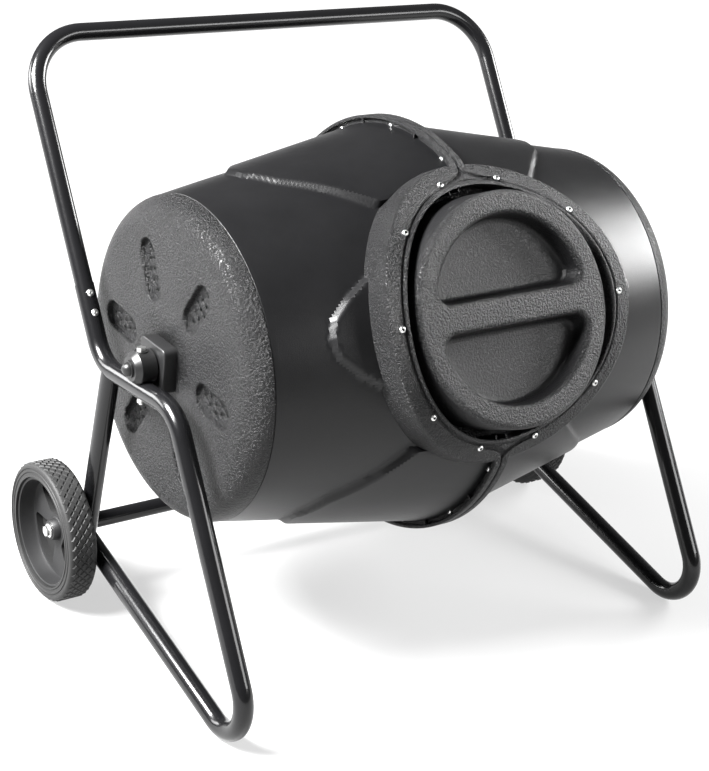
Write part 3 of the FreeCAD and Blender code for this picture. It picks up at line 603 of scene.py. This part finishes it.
def flange(side):
    """Half of the bolted flange: a channel with lips, ribs between the screws."""
    sign = SIDES[side]
    bm = bmesh.new()
    section = [(0.0009, 0.322), (0.0009, 0.3505)]
    section += [(0.0034 - x, r) for x, r in arc((0, 0.3505), 0.0025, 0, 90, 4)]
    section += [(0.0120 + x, r) for x, r in reversed(arc((0, 0.3510), 0.0020, 0, 90, 4))]
    section += [(FLANGE_THICK, 0.3485), (0.0130, 0.3475), (0.0080, 0.3468), (FLANGE_WEB, 0.3455),
                (FLANGE_WEB, 0.3350), (0.0080, 0.3335), (0.0130, 0.3328), (FLANGE_THICK, 0.3315),
                (FLANGE_THICK, 0.322)]
    start = around(FLANGE_START)
    points = [X_AXIS * (sign * x) + start * r for x, r in section]
    geometry = outline(bm, points, closed=True)
    geometry.append(bm.faces.new([g for g in geometry if isinstance(g, bmesh.types.BMVert)]))
    turn(bm, geometry, -X_AXIS, 360, 360 - 2 * FLANGE_START)
    span, depth = FLANGE_SINK
    for vert in bm.verts:
        angle = abs(math.degrees(math.atan2(vert.co.y, vert.co.z)))
        sink = 1 - depth * smooth((FLANGE_START + span - angle) / span)
        vert.co.y *= sink
        vert.co.z *= sink
    rib_x, rib_r = FLANGE_RIB_AT
    first = FLANGE_START + FLANGE_RIB_CLEAR
    for k in range(FLANGE_SCREWS + 1):
        angle = FLANGE_FIRST + FLANGE_STEP * (k - 0.5)
        if not first < angle < 360 - first:
            continue
        rib = bmesh.ops.create_cube(bm, size=1.0)["verts"]
        spot = around(angle) * rib_r + X_AXIS * (sign * rib_x)
        grid = Matrix((X_AXIS, around(angle + 90), around(angle))).transposed().to_4x4()
        size = Matrix.Diagonal((*FLANGE_RIB, 1))
        bmesh.ops.transform(bm, matrix=Matrix.Translation(spot) @ grid @ size, verts=rib)
    keep(bm, "flange_" + side, "drum", "drum_plastic", ("drum_" + side,),
         FINISHES["grained_plastic"], place=DRUM)


# ======== lid ring ========
def lid_ring():
    """Spun flat, then let down onto the drum's curve."""
    bm = bmesh.new()
    top = RING_CURVE_R
    section = [(OPENING_R, SHELF_HIGH), (OPENING_R, 0.300), (OPENING_R, top - 0.0035)]
    section += reversed(arc((OPENING_R + 0.0032, top - 0.0032), 0.0032, 20, 180, 8))
    section += [(0.2072, top - 0.0052), (0.2088, top - 0.0050), (0.2102, top - 0.0034)]
    section += [(0.2102 + 0.00166 * k, top - RING_LAND) for k in range(1, 13)]
    section += reversed(arc((RING_OUT_R - 0.0040, top - RING_LAND - 0.0040), 0.0040, 0, 80, 6))
    section += [(RING_OUT_R, 0.320), (RING_OUT_R, 0.290), (RING_OUT_R, 0.262)]
    section += [(0.2060, 0.262), (0.2060, SHELF_LOW), (SHELF_R, SHELF_LOW), (SHELF_R, SHELF_HIGH)]
    turn(bm, outline(bm, [(r, 0, z) for r, z in section], closed=True), Z_AXIS, RING_STEPS)
    joint = [Vector(point) for point in JOINT_PATH]
    for vert in bm.verts:
        if vert.co.z > top - 0.006:
            spot = Vector((abs(vert.co.x), abs(vert.co.y)))
            gap = min(distance_to(spot, start, end) for start, end in zip(joint, joint[1:]))
            vert.co.z -= JOINT_DEPTH * smooth(1.5 - gap / JOINT_WIDTH)
        if vert.co.z > SHELF_HIGH + 0.001:
            vert.co.z -= RING_CURVE_R - math.sqrt(RING_CURVE_R ** 2 - vert.co.y ** 2)
    for angle in RIB_ANGLES:
        rib = bmesh.ops.create_cube(bm, size=1.0)["verts"]
        swing = Matrix.Rotation(math.radians(angle), 4, "Z")
        reach = OPENING_R + 0.002 - RIB_IN_R
        y = RIB_IN_R * math.sin(math.radians(angle))
        high = math.sqrt(RING_CURVE_R ** 2 - y * y) - RIB_DROP
        spot = Matrix.Translation((RIB_IN_R + reach / 2, 0, (high + SHELF_HIGH) / 2))
        size = Matrix.Diagonal((reach, RIB_THICK, high - SHELF_HIGH, 1))
        bmesh.ops.transform(bm, matrix=swing @ spot @ size, verts=rib)
    keep(bm, "lid_ring_shell", "drum", "grained_plastic", ("lid_ring",), place=DRUM)


# ======== lid ========
def recess_loop(bm, inset, height, flip):
    """The D outline of a finger recess, above or below the grip bar."""
    outer, low = RECESS_R - inset, GRIP_HALF + inset
    corner = RECESS_CORNER_R - inset / 2
    reach = math.sqrt((outer - corner) ** 2 - (low + corner) ** 2)
    lean = math.degrees(math.atan2(low + corner, reach))
    points = arc((reach, low + corner), corner, -90, lean, 10)
    points += arc((0, 0), outer, lean, 180 - lean, 64)[1:]
    points += arc((-reach, low + corner), corner, 180 - lean, 270, 10)[1:]
    points += [(-reach + 2 * reach * k / 12, low) for k in range(1, 12)]
    if flip:
        points = [(-x, -y) for x, y in points]
    made = outline(bm, [(x, y, height) for x, y in points], closed=True)
    return [g for g in made if isinstance(g, bmesh.types.BMEdge)]


def lid():
    bm = bmesh.new()
    edge = arc((LID_R - LID_EDGE_R, LID_FACE - LID_EDGE_R), LID_EDGE_R, 0, 90, 8)
    section = [(LID_R, LID_LOW), (LID_R, 0.290), (LID_R, 0.320)] + edge
    turn(bm, outline(bm, [(r, 0, z) for r, z in section]), Z_AXIS, 180)
    bmesh.ops.remove_doubles(bm, verts=bm.verts, dist=1e-6)
    rim = edges_of([v for v in bm.verts if abs(v.co.z - LID_FACE) < 1e-6])
    lips = []
    lip_r, draft, fillet = 0.0085, 0.003, 0.010
    for flip in (False, True):
        insets = [(lip_r * math.sin(math.radians(a)) - 0.0055,
                   LID_FACE - lip_r * (1 - math.cos(math.radians(a)))) for a in range(0, 91, 15)]
        low = LID_FACE - RECESS_DEPTH
        wall = insets[-1][0] + draft
        insets += [(wall + fillet * (1 - math.cos(math.radians(a))),
                    low + fillet * (1 - math.sin(math.radians(a)))) for a in range(0, 91, 15)]
        loops = [recess_loop(bm, inset, height, flip) for inset, height in insets]
        bridge(bm, loops)
        bmesh.ops.triangle_fill(bm, use_beauty=True, edges=loops[-1], normal=Z_AXIS)
        lips += loops[0]
    bmesh.ops.triangle_fill(bm, use_beauty=True, edges=rim + lips, normal=Z_AXIS)
    piece = keep(bm, "lid_shell", "lid", "grained_plastic", ("lid",), LID_PLASTIC, place=DRUM)
    thicken(piece, LID_SKIN)

    bm = bmesh.new()
    for k in range(THREADS):
        corners = [(LID_R - 0.003, 0.260), (0.1915, 0.2605), (0.1915, 0.2665),
                   (LID_R - 0.003, 0.267)]
        swing = Matrix.Rotation(math.tau * k / THREADS, 4, "Z")
        made = outline(bm, [swing @ Vector((r, 0, z)) for r, z in corners], closed=True)
        made.append(bm.faces.new(made[:4]))
        turn(bm, made, Z_AXIS, 6, THREAD_SPAN, THREAD_LEAD * THREAD_SPAN / 360)
    keep(bm, "lid_threads", "lid", "grained_plastic", ("lid",), place=DRUM)


# ======== screw heads ========
def screw_heads(name, seats, height, replaced):
    """Low domed heads with a hexagon socket whose floor is painted shade; each seat is a place and
    a way out.
    """
    bm = bmesh.new()
    dome = [(HEAD_R, 0.0), (HEAD_R, height * 0.25), (HEAD_R * 0.93, height * 0.55),
            (HEAD_R * 0.74, height * 0.86), (HEAD_R * 0.54, height), (HEAD_R * 0.46, height * 0.93)]
    for spot, out in seats:
        place = Matrix.Translation(spot) @ out.to_track_quat("Z", "Y").to_matrix().to_4x4()
        before = set(bm.verts)
        turn(bm, outline(bm, [(r, 0, z) for r, z in dome]), Z_AXIS, 24)
        rounds = [v for v in bm.verts if v not in before]
        bmesh.ops.transform(bm, matrix=place, verts=rounds)
        socket = place @ Matrix.Translation((0, 0, height * 0.45))
        bmesh.ops.create_circle(bm, cap_ends=True, segments=6, radius=HEAD_R * 0.50, matrix=socket)
    piece = keep(bm, name, "drum", "fastener_steel", (replaced,), place=DRUM)
    # the hexagon socket floors take the painted shade
    piece.data.materials.append(PAINTED_HOLLOW_SHADE)
    for face in piece.data.polygons:
        face.material_index = 1 if len(face.vertices) == 6 else 0


def ring_seats():
    seats = []
    for angle in RING_SCREW_ANGLES:
        x = RING_SCREW_R * math.cos(math.radians(angle))
        y = RING_SCREW_R * math.sin(math.radians(angle))
        out = Vector((0, y, math.sqrt(RING_CURVE_R ** 2 - y * y))).normalized()
        seats.append((X_AXIS * x + out * (RING_CURVE_R - RING_LAND), out))
    return seats


def flange_seats():
    angles = [FLANGE_FIRST + FLANGE_STEP * k for k in range(FLANGE_SCREWS)]
    return [(around(a) * FLANGE_SCREW_R - X_AXIS * FLANGE_WEB, -X_AXIS) for a in angles]


# ======== hubs ========
def hub(side):
    sign = SIDES[side]
    bm = bmesh.new()
    thick = HUB_OUT - DRUM_END
    block = bmesh.ops.create_cube(bm, size=1.0)["verts"]
    size = Matrix.Diagonal((thick, 2 * HUB_HALF, 2 * HUB_HALF, 1))
    spot = Matrix.Translation((sign * (DRUM_END + thick / 2), AXLE.y, AXLE.z))
    bmesh.ops.transform(bm, matrix=spot @ size, verts=block)
    long_edges = [e for e in bm.edges if abs((e.verts[0].co - e.verts[1].co).normalized().x) > 0.9]
    bmesh.ops.bevel(bm, geom=long_edges, offset=HUB_CORNER, segments=6, profile=0.5,
                    affect="EDGES", material=-1)
    face_edges = [e for e in bm.edges if all(abs(abs(v.co.x) - HUB_OUT) < 1e-5 for v in e.verts)]
    bmesh.ops.bevel(bm, geom=face_edges, offset=HUB_EDGE, segments=3, profile=0.5,
                    affect="EDGES", material=-1)
    depth, length = HUB_BOSS
    boss = Matrix.Translation((sign * (DRUM_END - depth), AXLE.y, AXLE.z))
    boss = boss @ Matrix.Rotation(math.pi / 2, 4, "Y")
    bmesh.ops.create_cone(bm, cap_ends=True, segments=64, radius1=BOSS_R, radius2=BOSS_R,
                          depth=length, matrix=boss)
    keep(bm, "hub_block_" + side, "drum", "fitting_plastic", ("drum_hub_" + side,))


# ======== wheels ========
def wheel_place(side):
    spot = middle("tyre_" + side)
    return Matrix.Translation((0, spot.y, spot.z))


def tyre(side):
    """Sidewall rings and a tread of raised lozenges."""
    sign = SIDES[side]
    bm = bmesh.new()
    out = [(0.0, TYRE_IN_R), (0.0, 0.0990), (0.0012, 0.0997), (0.0012, 0.1040), (0.0, 0.1047),
           (0.0, 0.1068), (0.0012, 0.1075), (0.0012, 0.1105), (0.0, 0.1112), (0.0, SIDEWALL_R)]
    inward, outward = SHOULDER
    for angle in range(15, 91, 15):
        a = math.radians(angle)
        out.append((inward - inward * math.cos(a), SIDEWALL_R + outward * math.sin(a)))
    width = WHEEL_OUT - WHEEL_IN
    section = [(WHEEL_IN + x, r) for x, r in out]
    section += [(WHEEL_IN + width / 2, TREAD_BASE_R)]
    section += [(WHEEL_OUT - x, r) for x, r in reversed(out)]
    turn(bm, outline(bm, [(sign * x, 0, r) for x, r in section], closed=True), X_AXIS, 144)
    pitch = (width - 2 * TREAD_INSET) / TREAD_ROWS
    for row in range(TREAD_ROWS):
        for k in range(TREAD_COUNT):
            angle = 360 / TREAD_COUNT * (k + 0.5 * (row % 2))
            x = sign * (WHEEL_IN + TREAD_INSET + pitch * (row + 0.5))
            cone = Matrix((X_AXIS, around(angle + 90), around(angle))).transposed().to_4x4()
            spot = Matrix.Translation(X_AXIS * x + around(angle) * LOZENGE_R)
            size = Matrix.Diagonal((pitch * 0.92, LOZENGE_HALF, 1, 1))
            bmesh.ops.create_cone(bm, cap_ends=True, segments=4, radius1=1.0, radius2=0.66,
                                  depth=LOZENGE_HEIGHT, matrix=spot @ cone @ size)
    keep(bm, "tyre_tread_" + side, "wheel_" + side, "tyre_rubber", ("tyre_" + side,),
         place=wheel_place(side))


def window_loop(bm, angle, x):
    """A rounded wedge-shaped window, its narrow end towards the hub."""
    low, high = WINDOW_REACH
    half, c = math.radians(WINDOW_HALF), WINDOW_CORNER
    spots = []
    for centre_r, side, start in ((high - c, 1, 0), (low + c, 1, 90), (low + c, -1, 180),
                                  (high - c, -1, 270)):
        for t in range(start, start + 91, 30):
            swing = side * (half - c / centre_r) + c / centre_r * math.sin(math.radians(t))
            spots.append((centre_r + c * math.cos(math.radians(t)), swing))
    reach = half - c / (high - c)
    spots += [(high, reach * k / 6) for k in range(-5, 6)]
    points = [X_AXIS * x + around(angle + math.degrees(a)) * r for r, a in spots]
    made = outline(bm, points, closed=True)
    return [g for g in made if isinstance(g, bmesh.types.BMEdge)]


def rim(side):
    """The dished centre: rolled lip, deep barrel, web with three pockets in painted shade, and hub.
    """
    sign = SIDES[side]
    bm = bmesh.new()
    shapes = (
        (120, [(0.4985, 0.0195), (0.4985, 0.0955), (0.5392, 0.0955), (0.5400, 0.0948),
               (0.5400, 0.0918), (0.5392, 0.0908), (0.5330, 0.0900), (0.5180, 0.0888),
               (WEB + 0.0014, 0.0872), (WEB, WEB_R)]),
        (120, [(WEB, HUB_FOOT_R), (WEB + 0.0015, 0.0195), (0.5245, 0.0172), (0.5257, 0.0160),
               (0.5257, 0.0051), (0.4945, 0.0051), (0.4945, 0.0170), (0.4985, 0.0195)]),
    )
    for steps, section in shapes:
        turn(bm, outline(bm, [(sign * x, 0, r) for x, r in section]), X_AXIS, steps)
    bmesh.ops.remove_doubles(bm, verts=bm.verts, dist=1e-6)
    lips = []
    for k in range(WINDOWS):
        angle = 360 / WINDOWS * k + WINDOW_FIRST
        lip, foot = (window_loop(bm, angle, sign * x) for x in (WEB, POCKET))
        bridge(bm, [lip, foot])
        bmesh.ops.triangle_fill(bm, use_beauty=True, edges=foot, normal=X_AXIS * sign)
        lips += lip
    flat = [v for v in bm.verts if abs(abs(v.co.x) - WEB) < 1e-5
            and min(abs(v.co.yz.length - WEB_R), abs(v.co.yz.length - HUB_FOOT_R)) < 1e-5]
    bmesh.ops.triangle_fill(bm, use_beauty=True, edges=edges_of(flat) + lips,
                            normal=X_AXIS * sign)
    piece = keep(bm, "rim_" + side, "wheel_" + side, "wheel_plastic", ("wheel_rim_" + side,),
                 place=wheel_place(side))
    # the pockets' floors and walls take the painted shade
    piece.data.materials.append(PAINTED_HOLLOW_SHADE)
    centre = wheel_place(side).translation
    for face in piece.data.polygons:
        out = face.center - centre
        pocket = POCKET - 1e-4 < abs(face.center.x) < WEB - 1e-4
        face.material_index = int(pocket and HUB_FOOT_R < out.yz.length < WEB_R)


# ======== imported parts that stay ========
def finish_packed_parts():
    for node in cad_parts.values():
        slot = node.material_slots[0].material.name.split(".")[0]
        node.material_slots[0].material = FINISHES[slot]


# ======== studio ========
def floor():
    bm = bmesh.new()
    bmesh.ops.create_grid(bm, x_segments=2, y_segments=2, size=FLOOR_SIZE)
    mesh = bpy.data.meshes.new("floor")
    bm.to_mesh(mesh)
    bm.free()
    finish = Finish("studio_floor", IOR=1.2, Emission_Strength=0.95)
    finish.tint(finish.noise(0.6), (0.17, 0.17, 0.17), (0.19, 0.19, 0.19))
    away = finish.node("ShaderNodeVectorMath", {"operation": "LENGTH"}, {"Vector": finish.place},
                       "Value")
    glow = finish.between(away, *FLOOR_FADE)
    finish.set("Emission Color", finish.node("ShaderNodeCombineColor", None, {
        "Red": glow, "Green": glow, "Blue": glow}, "Color"))
    finish.set("Roughness", 0.55 + 0.1 * finish.noise(2.0))
    mesh.materials.append(finish.material)
    piece = bpy.data.objects.new("floor", mesh)
    bpy.context.scene.collection.objects.link(piece)


def softbox(name, spot, target, size, power):
    light = bpy.data.lights.new(name, "AREA")
    light.shape = "RECTANGLE"
    light.size, light.size_y = size
    light.energy = power
    lamp = bpy.data.objects.new(name, light)
    lamp.location = spot
    lamp.rotation_euler = (Vector(target) - Vector(spot)).to_track_quat("-Z", "Y").to_euler()
    bpy.context.scene.collection.objects.link(lamp)


def lights():
    for row in SOFTBOXES:
        softbox(*row)
    world = bpy.data.worlds.new("studio")
    world.use_nodes = True
    world.node_tree.nodes["Background"].inputs["Color"].default_value = (1, 1, 1, 1)
    world.node_tree.nodes["Background"].inputs["Strength"].default_value = WORLD_LIGHT
    bpy.context.scene.world = world
    bpy.context.scene.view_settings.view_transform = "Standard"


def camera():
    azimuth, elevation, roll = (math.radians(a) for a in CAMERA_TURN)
    lens = bpy.data.cameras.new("camera")
    lens.lens = CAMERA_LENS
    lens.sensor_width = 36.0
    viewer = bpy.data.objects.new("camera", lens)
    right = Vector((math.cos(azimuth), math.sin(azimuth), 0))
    back = Vector((math.sin(azimuth) * math.cos(elevation),
                   -math.cos(azimuth) * math.cos(elevation), math.sin(elevation)))
    up = back.cross(right)
    across = right * math.cos(roll) + up * math.sin(roll)
    upward = up * math.cos(roll) - right * math.sin(roll)
    turned = Matrix((across, upward, back)).transposed().to_4x4()
    viewer.matrix_world = Matrix.Translation(CAMERA_AT) @ turned
    bpy.context.scene.collection.objects.link(viewer)
    bpy.context.scene.camera = viewer


camera()
lights()
floor()
finish_packed_parts()
for side in SIDES:
    drum_half(side)
    flange(side)
    hub(side)
    tyre(side)
    rim(side)
lid_ring()
lid()
screw_heads("ring_screw_heads", ring_seats(), RING_HEAD, "ring_screws")
screw_heads("flange_screw_heads", flange_seats(), FLANGE_HEAD, "flange_screws")
